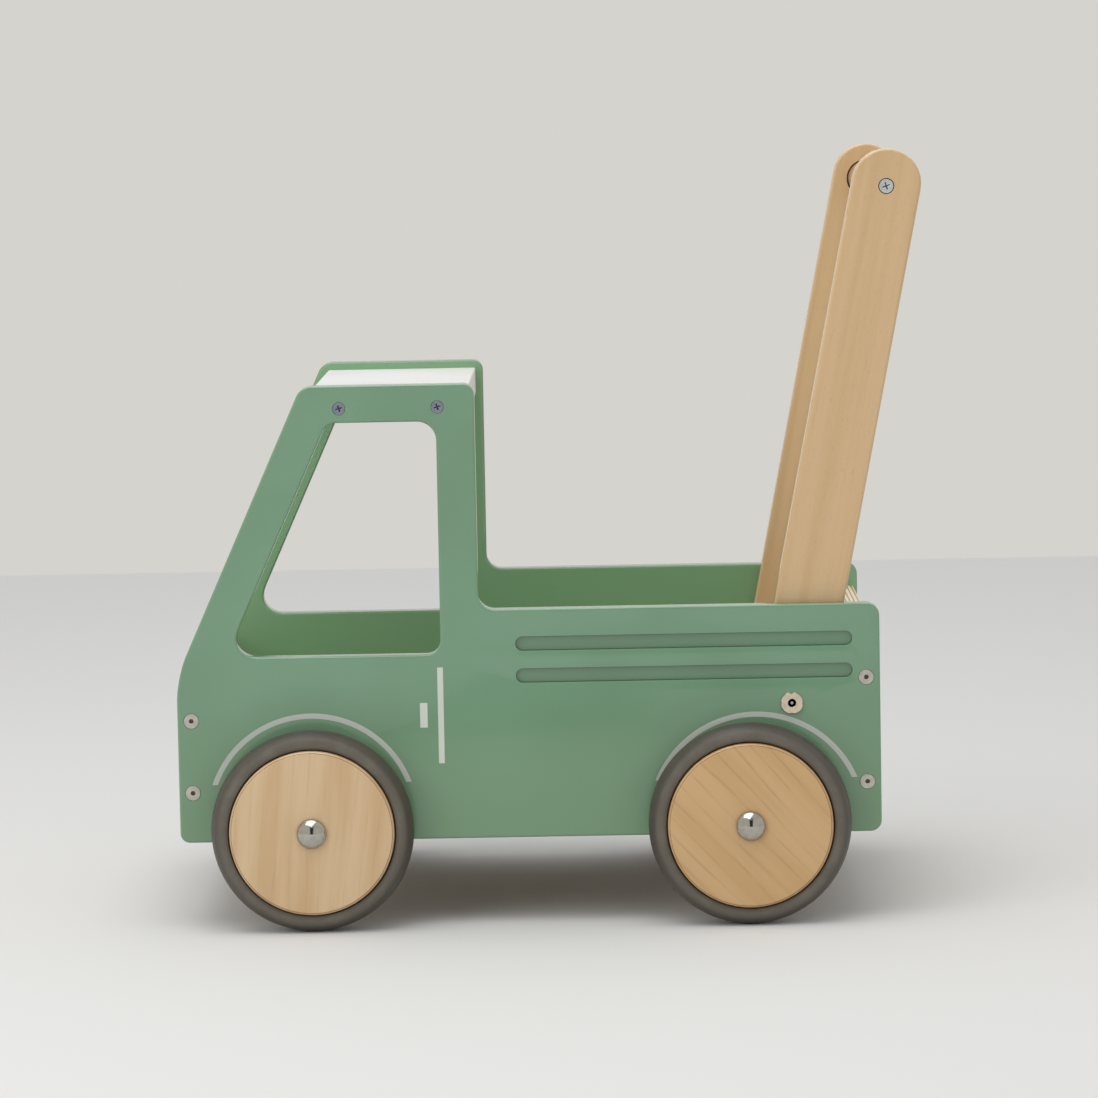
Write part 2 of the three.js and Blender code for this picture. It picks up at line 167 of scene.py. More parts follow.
# ---- Side panels
# Each side is one sheet of 12 mm birch plywood, cut with the cab, the nose and the load bed's rail
# in one outline. Its edges are rounded over, two grooves are routed in the outer face, and it is
# sprayed sage green. The wheel arches, the door line and the door handle are printed in pale grey.
class Wire:
    """An output of a finish's nodes, so that the maths of a pattern reads as arithmetic."""

    def __init__(self, finish, socket):
        self.finish = finish
        self.socket = socket

    def maths(self, operation, *values):
        return self.finish.node("Math", {"operation": operation}, dict(enumerate(values)))

    def __add__(self, other):
        return self.maths("ADD", self, other)

    def __radd__(self, other):
        return self.maths("ADD", other, self)

    def __sub__(self, other):
        return self.maths("SUBTRACT", self, other)

    def __rsub__(self, other):
        return self.maths("SUBTRACT", other, self)

    def __mul__(self, other):
        return self.maths("MULTIPLY", self, other)

    def __rmul__(self, other):
        return self.maths("MULTIPLY", other, self)

    def __truediv__(self, other):
        return self.maths("DIVIDE", self, other)

    def __pow__(self, other):
        return self.maths("POWER", self, other)

    def __abs__(self):
        return self.maths("ABSOLUTE", self)

    def __gt__(self, other):
        return self.maths("GREATER_THAN", self, other)

    def __lt__(self, other):
        return self.maths("LESS_THAN", self, other)

    def near(self, value, reach):
        return self.maths("COMPARE", self, value, reach)

    def fraction(self):
        return self.maths("FRACT", self)

    def at_least(self, value):
        return self.maths("MAXIMUM", self, value)

    def steps(self, low, high):
        """0 below low, 1 above high, and smooth between."""
        settings = {"interpolation_type": "SMOOTHSTEP"}
        inputs = {"Value": self, "From Min": low, "From Max": high}
        return self.finish.node("MapRange", settings, inputs)


class Finish:
    """A material, whose pattern is drawn on Object coordinates."""

    def __init__(self, name, roughness, metallic=0.0):
        self.material = bpy.data.materials.new(name)
        self.material.use_nodes = True
        self.tree = self.material.node_tree
        self.shader = self.tree.nodes["Principled BSDF"]
        self.shader.inputs["Roughness"].default_value = roughness
        self.shader.inputs["Metallic"].default_value = metallic
        self.place = self.node("TexCoord", output="Object")
        self.x, self.y, self.z = (
            self.node("SeparateXYZ", inputs={"Vector": self.place}, output=axis) for axis in "XYZ"
        )

    def fill(self, socket, value):
        if isinstance(value, Wire):
            self.tree.links.new(value.socket, socket)
        elif isinstance(value, tuple) and socket.type == "RGBA":
            socket.default_value = (*value, 1)
        else:
            socket.default_value = value

    def node(self, kind, settings=None, inputs=None, output=0):
        """Adds a node: its settings are set first, and then its inputs are set or linked."""
        prefix = "ShaderNodeTex" if kind in ("Noise", "Wave", "Voronoi") else "ShaderNode"
        node = self.tree.nodes.new(prefix + kind)
        for setting, value in (settings or {}).items():
            setattr(node, setting, value)
        for key, value in (inputs or {}).items():
            self.fill(node.inputs[key], value)
        return Wire(self, node.outputs[output])

    def mix(self, amount, first, second):
        settings = {"data_type": "RGBA"}
        inputs = {"Factor": amount, 6: first, 7: second}
        return self.node("Mix", settings, inputs, output=2)

    def noise(self, place, scale, detail=2.0, roughness=0.5, distortion=0.0):
        inputs = {
            "Vector": place,
            "Scale": scale,
            "Detail": detail,
            "Roughness": roughness,
            "Distortion": distortion,
        }
        return self.node("Noise", inputs=inputs, output="Fac")

    def stretched(self, stretch, turn=(0, 0, 0), centre=(0, 0, 0)):
        """Object coordinates centred on a place, turned, and then stretched along each axis."""
        moved = self.node("VectorMath", {"operation": "SUBTRACT"}, {0: self.place, 1: centre})
        by_angles = {"rotation_type": "EULER_XYZ"}
        turned = self.node("VectorRotate", by_angles, {"Vector": moved, "Rotation": turn})
        return self.node("VectorMath", {"operation": "MULTIPLY"}, {0: turned, 1: stretch})

    def bump(self, height, distance):
        return self.node("Bump", inputs={"Height": height, "Distance": distance})

    def surface(self, **values):
        for name, value in values.items():
            self.fill(self.shader.inputs[name.replace("_", " ")], value)


ROUND_STEPS = 8  # straight pieces in one rounded corner
SHARP = math.radians(35)


def outline_edges(mesh, corners, steps=ROUND_STEPS):
    """A closed loop of edges in x and y through corners (x, y, radius), each rounded over."""
    known = set(mesh.verts)
    verts = [mesh.verts.new((x, y, 0)) for x, y, _ in corners]
    mesh.faces.new(verts)
    for index, (vert, corner) in enumerate(zip(verts, corners)):
        radius = corner[2]
        if radius == 0:
            continue
        back = Vector(corners[index - 1][:2]) - Vector(corner[:2])
        onward = Vector(corners[(index + 1) % len(corners)][:2]) - Vector(corner[:2])
        bmesh.ops.bevel(
            mesh,
            geom=[vert],
            offset=radius / math.tan(back.angle(onward) / 2),
            offset_type="OFFSET",
            affect="VERTICES",
            segments=steps,
            profile=0.5,
            material=-1,
        )
    fresh = [vert for vert in mesh.verts if vert not in known]
    bmesh.ops.remove_doubles(mesh, verts=fresh, dist=0.002 * MM)
    faces = {face for vert in mesh.verts if vert not in known for face in vert.link_faces}
    bmesh.ops.delete(mesh, geom=list(faces), context="FACES_ONLY")
    return [edge for edge in mesh.edges if edge.verts[0] not in known]


def disc(x, y, radius):
    """The corners of a square that is rounded into a full circle."""
    return [(x + i * radius, y + j * radius, radius) for i, j in ((-1, -1), (1, -1), (1, 1), (-1, 1))]


def slot(start, end, y, height):
    """The corners of a long slot with round ends."""
    half = height / 2
    return [(x, y + side * half, half) for x, side in ((start, -1), (end, -1), (end, 1), (start, 1))]


def inset(mesh, faces, inward, outward):
    """Draws a flat region in from its rim and moves it out along its normal."""
    bmesh.ops.inset_region(
        mesh, faces=faces, thickness=inward, depth=outward, use_boundary=True, use_even_offset=True
    )


def round_over(mesh, faces, radius, steps=5):
    """Rounds the rim of a flat region over by a quarter circle, and leaves a narrow flat margin."""
    angles = [step * math.pi / 2 / steps for step in range(steps + 1)]
    for start, end in zip(angles, angles[1:]):
        inward = radius * (math.cos(start) - math.cos(end))
        inset(mesh, faces, inward, radius * (math.sin(end) - math.sin(start)))
    inset(mesh, faces, MARGIN, 0)


MARGIN = 0.15 * MM


def routed(depth, lip=0.22 * MM):
    """The steps inward and down of a pocket with a softened lip and foot."""
    return [
        (0.3 * lip, 0.1 * lip),
        (0.4 * lip, 0.4 * lip),
        (0.3 * lip, 0.5 * lip),
        (0, depth - 1.5 * lip),
        (0.3 * lip, 0.4 * lip),
        (0.7 * lip, 0.1 * lip),
    ]


def drilled(depth, lip=0.12 * MM):
    """The steps of a plain hole."""
    return [(lip, lip), (0, depth - lip)]


def plate(corners, thickness, easing, windows=(), pockets=()):
    """A flat board from z = 0 to its show face at z = thickness, with its rims rounded over.
    A pocket is an outline, and the steps that sink it in the show face and in the back, if any.
    Returns the mesh and the faces of its show face and back."""
    mesh = bmesh.new()
    number = mesh.faces.layers.int.new("pocket")
    edges = [edge for loop in (corners, *windows) for edge in outline_edges(mesh, loop)]
    for index, pocket in enumerate(pockets, 1):
        loop = outline_edges(mesh, pocket[0])
        edges += loop
        bmesh.ops.contextual_create(mesh, geom=loop)["faces"][0][number] = index
    bmesh.ops.triangle_fill(mesh, use_beauty=True, use_dissolve=False, edges=edges)
    back = list(mesh.faces)
    raised = bmesh.ops.extrude_face_region(mesh, geom=back)["geom"]
    show = [item for item in raised if isinstance(item, bmesh.types.BMFace)]
    rise = (0, 0, thickness - 2 * easing)
    bmesh.ops.translate(mesh, verts=list({v for face in show for v in face.verts}), vec=rise)
    bmesh.ops.recalc_face_normals(mesh, faces=mesh.faces)
    if easing:
        round_over(mesh, show, easing)
        round_over(mesh, back, easing)
    bmesh.ops.translate(mesh, verts=mesh.verts, vec=(0, 0, easing))
    for region, which in ((show, 1), (back, 2)):
        for face in [face for face in region if face[number]]:
            for inward, down in pockets[face[number] - 1][which] or ():
                inset(mesh, [face], inward, -down)
    return mesh, show, back


def stood(mesh, place, side):
    """Turns a mesh so that its z axis points out of the truck's left or right side, at a place."""
    quarter = Matrix.Rotation(math.pi / 2, 3, "X")
    bmesh.ops.rotate(mesh, verts=mesh.verts, cent=(0, 0, 0), matrix=quarter)
    bmesh.ops.scale(mesh, verts=mesh.verts, vec=(1, -side, 1))
    bmesh.ops.translate(mesh, verts=mesh.verts, vec=place)
    return mesh


def piece(name, mesh, finish, node, body="chassis"):
    """Makes a finished mesh the piece that stands for a node and moves with its body."""
    bmesh.ops.recalc_face_normals(mesh, faces=mesh.faces)
    for face in mesh.faces:
        face.smooth = True
    for edge in mesh.edges:
        edge.smooth = edge.calc_face_angle(math.pi) < SHARP
    data = bpy.data.meshes.new(name)
    mesh.to_mesh(data)
    mesh.free()
    data.materials.append(finish.material)
    made = bpy.data.objects.new(name, data)
    scene.collection.objects.link(made)
    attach(made, body)
    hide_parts(node)
    return made


def middle(node):
    low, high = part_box(node)
    return (low + high) / 2


HANDS = {"left": -1, "right": 1}
SIDE_LOW, SIDE_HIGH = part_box("right_side_panel")
SIDE_THICKNESS = SIDE_HIGH.y - SIDE_LOW.y
OUTER_FACE = SIDE_HIGH.y
NOSE_X, TAIL_X = SIDE_LOW.x, SIDE_HIGH.x
UNDERSIDE, ROOFLINE = SIDE_LOW.z, SIDE_HIGH.z
RAIL = UNDERSIDE + 144 * MM
SLOPE_FOOT = UNDERSIDE + 104 * MM
LEAN = math.radians(24.3)  # of the windscreen
POST_X = NOSE_X + 189.8 * MM
WINDOW_REAR = POST_X - 24.1 * MM
WINDOW_HEAD = ROOFLINE - 23.2 * MM
SILL = UNDERSIDE + 116.3 * MM
PILLAR = 23.7 * MM / math.cos(LEAN)
EASING = 1.5 * MM
GROOVE_DEPTH = 2.5 * MM
HOUSING_DEPTH = 4 * MM
HOLE_GAP = 0.2 * MM


def slope_x(z):
    return NOSE_X + (z - SLOPE_FOOT) * math.tan(LEAN)


SIDE_OUTLINE = [
    (NOSE_X, UNDERSIDE, 6 * MM),
    (TAIL_X, UNDERSIDE, 7 * MM),
    (TAIL_X, RAIL, 8 * MM),
    (POST_X, RAIL, 10 * MM),
    (POST_X, ROOFLINE, 7 * MM),
    (slope_x(ROOFLINE), ROOFLINE, 10 * MM),
    (NOSE_X, SLOPE_FOOT, 70 * MM),
]
WINDOW = [
    (slope_x(SILL) + PILLAR, SILL, 13 * MM),
    (WINDOW_REAR, SILL, 9 * MM),
    (WINDOW_REAR, WINDOW_HEAD, 12 * MM),
    (slope_x(WINDOW_HEAD) + PILLAR, WINDOW_HEAD, 8 * MM),
]
GROOVE_START, GROOVE_END = POST_X + 22.5 * MM, TAIL_X - 17 * MM
GROOVE_HEIGHT = 9.4 * MM
GROOVE_ZS = [RAIL - drop for drop in (21.8 * MM, 41.9 * MM)]
GROOVES = [
    (slot(GROOVE_START, GROOVE_END, z, GROOVE_HEIGHT), routed(GROOVE_DEPTH), None) for z in GROOVE_ZS
]
SCREWS = {
    "roof_screw_front": "cross",
    "roof_screw_rear": "cross",
    "front_screw_upper": "hex",
    "front_screw_lower": "hex",
    "tailgate_screw_upper": "hex",
    "tailgate_screw_lower": "hex",
}
HEAD_RIM = 0.6 * MM


def head_radius(node):
    low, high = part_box(node)
    return (high.z - low.z) / 2


def countersunk(head, depth):
    """The steps of a hole for a countersunk head of this radius, whose shank is half as thick."""
    return [(0, HEAD_RIM), (head / 2, head / 2), (0, depth - HEAD_RIM - head / 2)]


def screw_holes(depth):
    for screw in SCREWS:
        at, head = middle(f"left_{screw}"), head_radius(f"left_{screw}")
        yield disc(at.x, at.z, head + HOLE_GAP), countersunk(head, depth), None


def floor_housing():
    low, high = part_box("floor_board")
    low_z, high_z = low.z - HOLE_GAP, high.z + HOLE_GAP
    corners = [(low.x, low_z, 0), (high.x, low_z, 0), (high.x, high_z, 0), (low.x, high_z, 0)]
    return corners, None, [(0, HOUSING_DEPTH)]


NUT_HOLE = 4.2 * MM  # the radius of the hole for the barrel of a handle nut


def round_holes(depth):
    """For the two axles, and for the barrel of each nut that holds the handle."""
    for node in ("front_axle", "rear_axle"):
        at = middle(node)
        yield disc(at.x, at.z, head_radius(node) + HOLE_GAP), drilled(depth), None
    for bolt in ("upper", "lower"):
        at = middle(f"left_handle_bolt_{bolt}")
        yield disc(at.x, at.z, NUT_HOLE), drilled(depth), None


MARK_WIDTH = 3.3 * MM
ARCHES = {  # like the bars, measured from the nose and up from the underside
    "front": {"x": 83.4 * MM, "z": 14.4 * MM, "radius": 64.6 * MM, "foot": 36.5 * MM},
    "rear": {"x": 361.7 * MM, "z": 8.4 * MM, "radius": 66.8 * MM, "foot": 34.5 * MM},
}
BARS = {
    "door_line": {"x": 165.1 * MM, "low": 47.8 * MM, "high": 108.2 * MM, "width": 3.6 * MM},
    "door_handle": {"x": 154.4 * MM, "low": 70.5 * MM, "high": 86 * MM, "width": 4.7 * MM},
}
GREEN = srgb(113, 154, 123)
GREEN_DEEP = srgb(106, 145, 113)
GREEN_LOW_SHADE = srgb(108, 145, 107)  # painted shade: darker and a little warmer towards the underside
GREEN_INSIDE_LIT = srgb(121, 166, 122)  # painted light: a brighter, more saturated green on the inner faces
GREEN_EDGE_SHADE = srgb(88, 126, 90)  # painted shade on the cut edges
GREEN_SHADE = srgb(68, 98, 70)  # in the grooves, and strongest along the foot of their walls
ARCH_GREY = srgb(186, 192, 181)
BAR_GREY = srgb(206, 211, 200)


def printed_marks(paint):
    """1 where the arches, and where the door's bars, are printed on the outer faces."""
    outside = abs(paint.y) > OUTER_FACE - 0.2 * MM
    from_nose, above_foot = paint.x - NOSE_X, paint.z - UNDERSIDE
    arches, bars = 0.0, 0.0
    for arch in ARCHES.values():
        across, up = from_nose - arch["x"], above_foot - arch["z"]
        distance = (across * across + up * up) ** 0.5
        arches = arches + distance.near(arch["radius"], MARK_WIDTH / 2) * (above_foot > arch["foot"])
    for bar in BARS.values():
        centre = (bar["low"] + bar["high"]) / 2
        upright = above_foot.near(centre, (bar["high"] - bar["low"]) / 2)
        bars = bars + from_nose.near(bar["x"], bar["width"] / 2) * upright
    return arches * outside, bars * outside


def groove_shade(paint):
    """Half dark on a groove's floor, and darkest along the foot of its walls."""
    half = GROOVE_HEIGHT / 2
    straight = (GROOVE_END - GROOVE_START) / 2 - half
    past_end = (abs(paint.x - (GROOVE_START + GROOVE_END) / 2) - straight).at_least(0)
    shade = 0.0
    for z in GROOVE_ZS:
        up = paint.z - z
        reach = (past_end * past_end + up * up) ** 0.5
        foot = reach.steps(half - 0.9 * MM, half - 0.2 * MM)
        shade = shade + (reach < half + 0.1 * MM) * (0.3 + foot * 0.7)
    below_face = abs(paint.y) < OUTER_FACE - 0.15 * MM
    return shade * below_face * (abs(paint.y) > OUTER_FACE - GROOVE_DEPTH - 0.3 * MM)


def green_paint():
    paint = Finish("sage_green_paint", 0.36)
    paint.surface(Coat_Weight=1.0, Coat_Roughness=0.12)
    cloud = paint.noise(paint.place, 7, 3)
    grain = paint.noise(paint.stretched((14, 60, 260)), 1, 4, 0.6)
    peel = paint.noise(paint.place, 1300, 2)
    tone = paint.mix(cloud.steps(0.35, 0.65), GREEN, GREEN_DEEP)
    tone = paint.mix((grain - 0.5) * 0.3 + 0.1, tone, GREEN_DEEP)
    # painted shade, darker towards the underside
    tone = paint.mix((RAIL - paint.z).steps(20 * MM, 150 * MM) * 0.8, tone, GREEN_LOW_SHADE)
    from_inside = abs(paint.y) - (OUTER_FACE - SIDE_THICKNESS)
    # painted shade on the cut edges
    tone = paint.mix(from_inside < SIDE_THICKNESS - GROOVE_DEPTH - 0.3 * MM, tone, GREEN_EDGE_SHADE)
    # painted light on the inner faces
    tone = paint.mix(from_inside < 0.3 * MM, tone, GREEN_INSIDE_LIT)
    tone = paint.mix(groove_shade(paint), tone, GREEN_SHADE)
    arches, bars = printed_marks(paint)
    tone = paint.mix(arches, tone, ARCH_GREY)
    marks = arches + bars
    height = grain * 0.5 + peel * 0.3 + marks * 0.5
    paint.surface(
        Base_Color=paint.mix(bars, tone, BAR_GREY),
        Roughness=0.33 + cloud * 0.06 + peel * 0.05 + marks * 0.1,
        Normal=paint.bump(height, 0.05 * MM),
    )
    return paint


side_paint = green_paint()
THROUGH = SIDE_THICKNESS - 0.3 * MM
for hand, side in HANDS.items():
    side_mesh, _, _ = plate(
        SIDE_OUTLINE,
        SIDE_THICKNESS,
        EASING,
        windows=[WINDOW],
        pockets=[*GROOVES, *screw_holes(THROUGH), *round_holes(THROUGH), floor_housing()],
    )
    stood(side_mesh, (0, side * (OUTER_FACE - SIDE_THICKNESS), 0), side)
    piece(f"side_{hand}", side_mesh, side_paint, f"{hand}_side_panel")


# ---- Roof board
# An 18 mm board across the cab, sprayed white. Its front edge is cut to the slope of the
# windscreen, and two screws through each side run into its ends.
BOARD_EASING = 1.2 * MM
PILOT_DEPTH = 36 * MM


def cross_board(node, slant, screws):
    """A board between the sides, whose front edge leans back by a slant."""
    low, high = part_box(node)
    corners = [
        (low.x, low.z, BOARD_EASING),
        (high.x, low.z, BOARD_EASING),
        (high.x, high.z, BOARD_EASING),
        (low.x + (high.z - low.z) * math.tan(slant), high.z, BOARD_EASING),
    ]
    pilots = []
    for screw in screws:
        at, radius = middle(f"left_{screw}"), head_radius(f"left_{screw}") / 2 + HOLE_GAP
        pilots.append((disc(at.x, at.z, radius), drilled(PILOT_DEPTH), drilled(PILOT_DEPTH)))
    mesh, _, _ = plate(corners, high.y - low.y, 0, pockets=pilots)
    return stood(mesh, (0, high.y, 0), HANDS["left"])


WHITE = srgb(228, 229, 228)
WHITE_WARM = srgb(221, 219, 214)


def white_paint():
    paint = Finish("white_paint", 0.4)
    cloud = paint.noise(paint.place, 16, 3)
    grain = paint.noise(paint.stretched((300, 12, 300)), 1, 4, 0.6)
    paint.surface(
        Base_Color=paint.mix(cloud.steps(0.35, 0.7), WHITE, WHITE_WARM),
        Roughness=0.36 + cloud * 0.1,
        Normal=paint.bump(grain, 0.05 * MM),
    )
    return paint


roof_mesh = cross_board("roof_board", LEAN, ["roof_screw_front", "roof_screw_rear"])
piece("roof", roof_mesh, white_paint(), "roof_board")


# ---- Front board, tailgate and floor
# Birch plywood with a clear lacquer, and its plies showing on every cut edge. The two upright boards
# are screwed between the sides, and the 9 mm floor lies in grooves routed inside them.
BIRCH = srgb(223, 204, 168)
BIRCH_LIGHT = srgb(236, 226, 200)
PLY_DARK = srgb(150, 122, 90)
GRAIN_BROWN = srgb(190, 152, 108)
PLY_PERIOD = 2.8 * MM


def plies(wood, depth, period=PLY_PERIOD):
    """1 on the dark plies that run across the grain, from the depth below the board's middle."""
    wobble = (wood.noise(wood.place, 90, 2) - 0.5) * 0.16
    phase = (depth / period + 0.5 + wobble).fraction()
    return abs(phase - 0.5).steps(0.27, 0.36)


def growth_lines(wood, across, along, pitch, sharpness=0.78):
    """Fine dark lines of late wood that wander along the grain of a veneer."""
    place = wood.node("CombineXYZ", inputs={"X": across * 20, "Y": along * 2.6})
    wander = wood.noise(place, 1, 3, 0.55)
    phase = (across / pitch + wander * 3.2).fraction()
    return phase.steps(sharpness, 0.97) * (1 - phase.steps(0.97, 1.0))


def streaks(wood, across, along, fineness=900, length=16):
    """Fine pores and rays that run along the grain."""
    place = wood.node("CombineXYZ", inputs={"X": across * fineness, "Y": along * length})
    return wood.noise(place, 1, 3, 0.6)


def birch_ply(name, depth_axis, centre):
    wood = Finish(name, 0.42)
    depth = getattr(wood, depth_axis) - getattr(centre, depth_axis)
    dark = plies(wood, depth)
    across = wood.x + wood.z
    fine = streaks(wood, across, wood.y)
    lines = growth_lines(wood, across, wood.y, 13 * MM)
    tone = wood.mix(fine.steps(0.35, 0.75), BIRCH_LIGHT, BIRCH)
    tone = wood.mix(lines * 0.26, tone, GRAIN_BROWN)
    wood.surface(
        Base_Color=wood.mix(dark * (0.7 + fine * 0.3), tone, PLY_DARK),
        Roughness=0.4 + fine * 0.12,
        Normal=wood.bump(fine * 0.4 - dark * 0.6, 0.08 * MM),
    )
    return wood


CROSS_BOARDS = {
    "front_board": ("x", ["front_screw_upper", "front_screw_lower"]),
    "tailgate": ("x", ["tailgate_screw_upper", "tailgate_screw_lower"]),
    "floor_board": ("z", []),
}
for node, (axis, screws) in CROSS_BOARDS.items():
    wood = birch_ply(f"birch_ply_{node}", axis, middle(node))
    piece(f"ply_{node}", cross_board(node, 0, screws), wood, node)


# ---- Axles and washers
# Two 10 mm rods of zinc-plated steel run right across under the floor, and are held in the sides.
# A white nylon washer on each end keeps the wheel off the painted side.
WASHER_BORE_EASING = 0.3 * MM
WASHER_RIM_EASING = 0.8 * MM
SPIN_STEPS = 96


def turned(profile, place, side=1, steps=ROUND_STEPS):
    """Spins corners (radius, distance along, rounding) about an axle, outwards from a place."""
    mesh = bmesh.new()
    edges = outline_edges(mesh, profile, steps)
    on_axis = [edge for edge in edges if all(abs(vert.co.x) < 0.001 * MM for vert in edge.verts)]
    bmesh.ops.delete(mesh, geom=on_axis, context="EDGES")
    bmesh.ops.spin(
        mesh,
        geom=[*mesh.verts, *mesh.edges],
        cent=(0, 0, 0),
        axis=(0, 1, 0),
        angle=math.tau,
        steps=SPIN_STEPS,
        use_merge=True,
    )
    bmesh.ops.remove_doubles(mesh, verts=mesh.verts, dist=0.002 * MM)
    bmesh.ops.scale(mesh, verts=mesh.verts, vec=(1, side, 1))
    bmesh.ops.translate(mesh, verts=mesh.verts, vec=place)
    return mesh


def along(node, side):
    """Where a piece on an axle starts and how long it is, outwards from the truck's middle."""
    low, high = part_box(node)
    ends = sorted((side * low.y, side * high.y))
    return ends[0], ends[1] - ends[0]


def metal(name, colour, roughness, scuff=0.08, face_y=None):
    """Plated metal, with painted shade on whatever lies below a face, such as its sockets."""
    plated = Finish(name, roughness, metallic=1.0)
    cloud = plated.noise(plated.place, 260, 3)
    fine = plated.noise(plated.place, 2600, 2)
    shade = tuple(value * 0.86 for value in colour)
    tone = plated.mix(cloud.steps(0.35, 0.7), colour, shade)
    if face_y:
        # painted shade below the face
        sunk = (face_y - abs(plated.y)).steps(0.25 * MM, 1.1 * MM)
        tone = plated.mix(sunk * 0.88, tone, SOCKET_SHADE)
    plated.surface(
        Base_Color=tone,
        Roughness=roughness - scuff / 2 + cloud * scuff,
        Normal=plated.bump(fine, 0.01 * MM),
    )
    return plated


def moulded(name, colour, shade, roughness):
    plastic = Finish(name, roughness)
    cloud = plastic.noise(plastic.place, 120, 3)
    fine = plastic.noise(plastic.place, 1800, 2)
    plastic.surface(
        Base_Color=plastic.mix(cloud.steps(0.3, 0.7), colour, shade),
        Roughness=roughness - 0.04 + fine * 0.08,
        Normal=plastic.bump(fine, 0.02 * MM),
    )
    return plastic


SOCKET_SHADE = srgb(92, 62, 50)
zinc = metal("zinc_plate", srgb(200, 197, 190), 0.34)
nylon = moulded("white_nylon", srgb(226, 224, 216), srgb(218, 215, 205), 0.48)
AXLE_CHAMFER = 0.8 * MM
for end in ("front", "rear"):
    at = middle(f"{end}_axle")
    radius = head_radius(f"{end}_axle")
    half = along(f"{end}_axle", 1)[1] / 2
    rod = [
        (0, -half, 0),
        (radius - AXLE_CHAMFER, -half, 0),
        (radius, -half + AXLE_CHAMFER, 0),
        (radius, half - AXLE_CHAMFER, 0),
        (radius - AXLE_CHAMFER, half, 0),
        (0, half, 0),
    ]
    piece(f"axle_{end}", turned(rod, at), zinc, f"{end}_axle")
    for hand, side in HANDS.items():
        node = f"{end}_{hand}_washer"
        start, width = along(node, side)
        bore, rim = radius + HOLE_GAP, head_radius(node)
        ring = [
            (bore, 0, WASHER_BORE_EASING),
            (rim, 0, WASHER_RIM_EASING),
            (rim, width, WASHER_RIM_EASING),
            (bore, width, WASHER_BORE_EASING),
        ]
        piece(f"washer_{end}_{hand}", turned(ring, (at.x, side * start, at.z), side), nylon, node)


# ---- Wheel discs
# Each wheel is a disc of birch plywood, 27 mm thick, with its rim rounded so that the outer plies
# show as rings. It turns on the axle, and its veneer lies at whatever angle it was pushed on.
DISC_EASING = 2.4 * MM
DISC_LOOK = {  # the veneer's pale and deep tones, and how strongly its growth lines show
    "front": (srgb(213, 184, 144), srgb(202, 168, 124), 0.18),
    "rear": (srgb(206, 168, 118), srgb(198, 159, 107), 0.42),
}
DISC_LINE = srgb(160, 121, 80)
DISC_PLY_DARK = srgb(116, 80, 50)
DISC_PLY = 1.35 * MM
VENEER_ANGLE = {
    ("front", "left"): 84,
    ("rear", "left"): 132,
    ("front", "right"): 20,
    ("rear", "right"): 70,
}


def disc_wood(name, centre, face_y, angle, tone, tone_deep, line_strength):
    wood = Finish(name, 0.4)
    wood.surface(Coat_Weight=0.6, Coat_Roughness=0.2)
    turn = math.radians(angle)
    from_x, from_z = wood.x - centre.x, wood.z - centre.z
    grain_way = from_x * math.cos(turn) + from_z * math.sin(turn)
    across = from_z * math.cos(turn) - from_x * math.sin(turn)
    depth = face_y - abs(wood.y)
    fine = streaks(wood, across, grain_way, 700, 14)
    broad = wood.noise(wood.node("CombineXYZ", inputs={"X": across * 60, "Y": grain_way * 6}), 1, 3)
    lines = growth_lines(wood, across, grain_way, 9 * MM)
    wobble = (wood.noise(wood.place, 120, 2) - 0.5) * 0.12
    dark = (depth / DISC_PLY + 0.72 + wobble).fraction().steps(0.84, 0.9)
    colour = wood.mix(broad.steps(0.35, 0.68), tone, tone_deep)
    colour = wood.mix(fine.steps(0.5, 0.8) * 0.35, colour, tone_deep)
    patchy = wood.noise(wood.place, 45, 2).steps(0.35, 0.7)
    colour = wood.mix(lines * (0.25 + patchy * 0.75) * line_strength, colour, DISC_LINE)
    wood.surface(
        Base_Color=wood.mix(dark, colour, DISC_PLY_DARK),
        Roughness=0.38 + fine * 0.12,
        Normal=wood.bump(fine * 0.5 - dark * 0.4, 0.05 * MM),
    )
    return wood


for (end, hand), angle in VENEER_ANGLE.items():
    node, side = f"{end}_{hand}_wheel", HANDS[hand]
    at, rim = middle(node), head_radius(node)
    start, width = along(node, side)
    bore = head_radius(f"{end}_axle") + 0.3 * MM
    section = [
        (bore, 0, 0.6 * MM),
        (rim, 0, DISC_EASING),
        (rim, width, DISC_EASING),
        (bore, width, 0.6 * MM),
    ]
    wood = disc_wood(f"wheel_wood_{end}_{hand}", at, start + width, angle, *DISC_LOOK[end])
    wheel_mesh = turned(section, (at.x, side * start, at.z), side)
    piece(f"disc_{end}_{hand}", wheel_mesh, wood, node, f"{end}_{hand}_wheel")


# ---- Tyres
# Solid grey rubber rings with a nearly round section, stretched over the discs. A fine seam from the
# mould runs round the tread, and each sidewall rises to a blunt ridge beside the disc.
TYRE_GREY = srgb(96, 91, 81)
TYRE_DUSTY = srgb(109, 104, 93)
TYRE_SHADE = srgb(62, 56, 48)
SEAM_WIDTH = 0.8 * MM
SEAM_HEIGHT = 0.25 * MM


def rubber(face_y):
    """Grey rubber, with painted shade everywhere but along the ridge of each tyre's outer sidewall.
    """
    tyre = Finish("grey_rubber", 0.45)
    cloud = tyre.noise(tyre.place, 60, 4, 0.6)
    fine = tyre.noise(tyre.place, 1500, 2)
    specks = tyre.noise(tyre.place, 420, 2).steps(0.66, 0.74)
    tone = tyre.mix(cloud.steps(0.4, 0.75), TYRE_GREY, TYRE_DUSTY)
    # painted shade away from the outer sidewall's ridge
    tone = tyre.mix((face_y - abs(tyre.y)).steps(0.15 * MM, 3 * MM) * 0.7, tone, TYRE_SHADE)
    tyre.surface(
        Base_Color=tyre.mix(specks * 0.35, tone, TYRE_DUSTY),
        Roughness=0.4 + cloud * 0.12 + specks * 0.1,
        Normal=tyre.bump(fine * 0.6 + cloud * 0.4, 0.04 * MM),
    )
    return tyre


